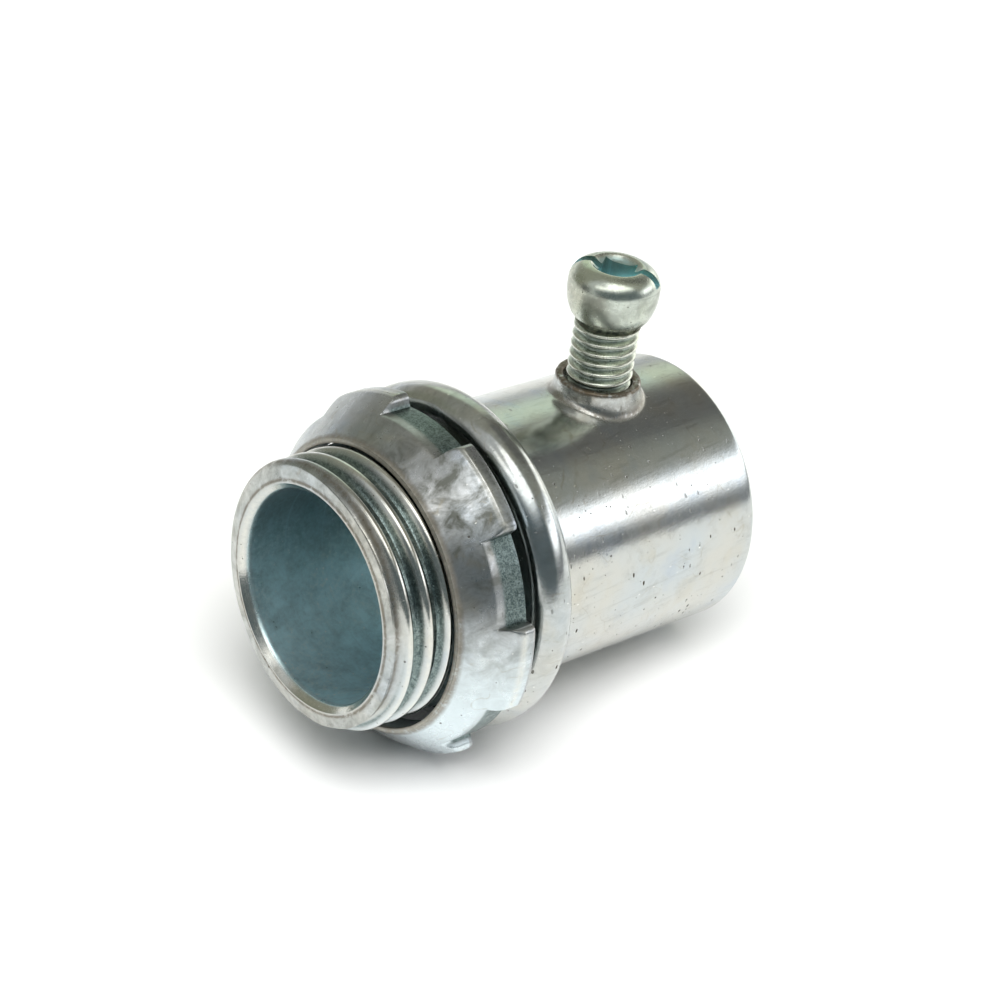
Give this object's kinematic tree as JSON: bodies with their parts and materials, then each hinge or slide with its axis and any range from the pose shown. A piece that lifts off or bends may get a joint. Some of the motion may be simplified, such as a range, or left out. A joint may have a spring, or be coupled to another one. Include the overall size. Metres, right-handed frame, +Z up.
{
  "type": "electrical conduit box connector",
  "caption": "Plated steel set screw connector that joins thin walled conduit to a box: plain socket, rolled flange, threaded nose and cupped locknut.",
  "frame": {"origin": "Middle of the footprint of the standing connector, on the floor it stands on.", "axes": "+X runs from the nose to the conduit end, along the floor; the connector's own axis slopes down towards +X by 6.8 degrees. +Z is up, on the set screw's side. The connector is rolled by 3.0 degrees towards +Y, and stands on two lobes of the locknut and the rear rim."},
  "size_m": [0.0368, 0.0276, 0.033],
  "materials": {
    "body_zinc": "bright zinc plate",
    "nut_zinc": "satin zinc plate",
    "screw_zinc": "bright zinc plate"
  },
  "bodies": {
    "connector": {"connector_body": "body_zinc"},
    "nut": {"locknut": "nut_zinc"},
    "screw": {"set_screw": "screw_zinc"}
  },
  "joints": [
    {"name": "locknut_travel", "type": "slide", "parent": "connector", "child": "nut", "axis": [0.9929, 0, -0.1191], "range_m": [-0.011, 0.0013]},
    {"name": "screw_travel", "type": "slide", "parent": "connector", "child": "screw", "axis": [-0.1189, -0.0523, -0.9915], "range_m": [-0.002, 0.0047]}
  ]
}
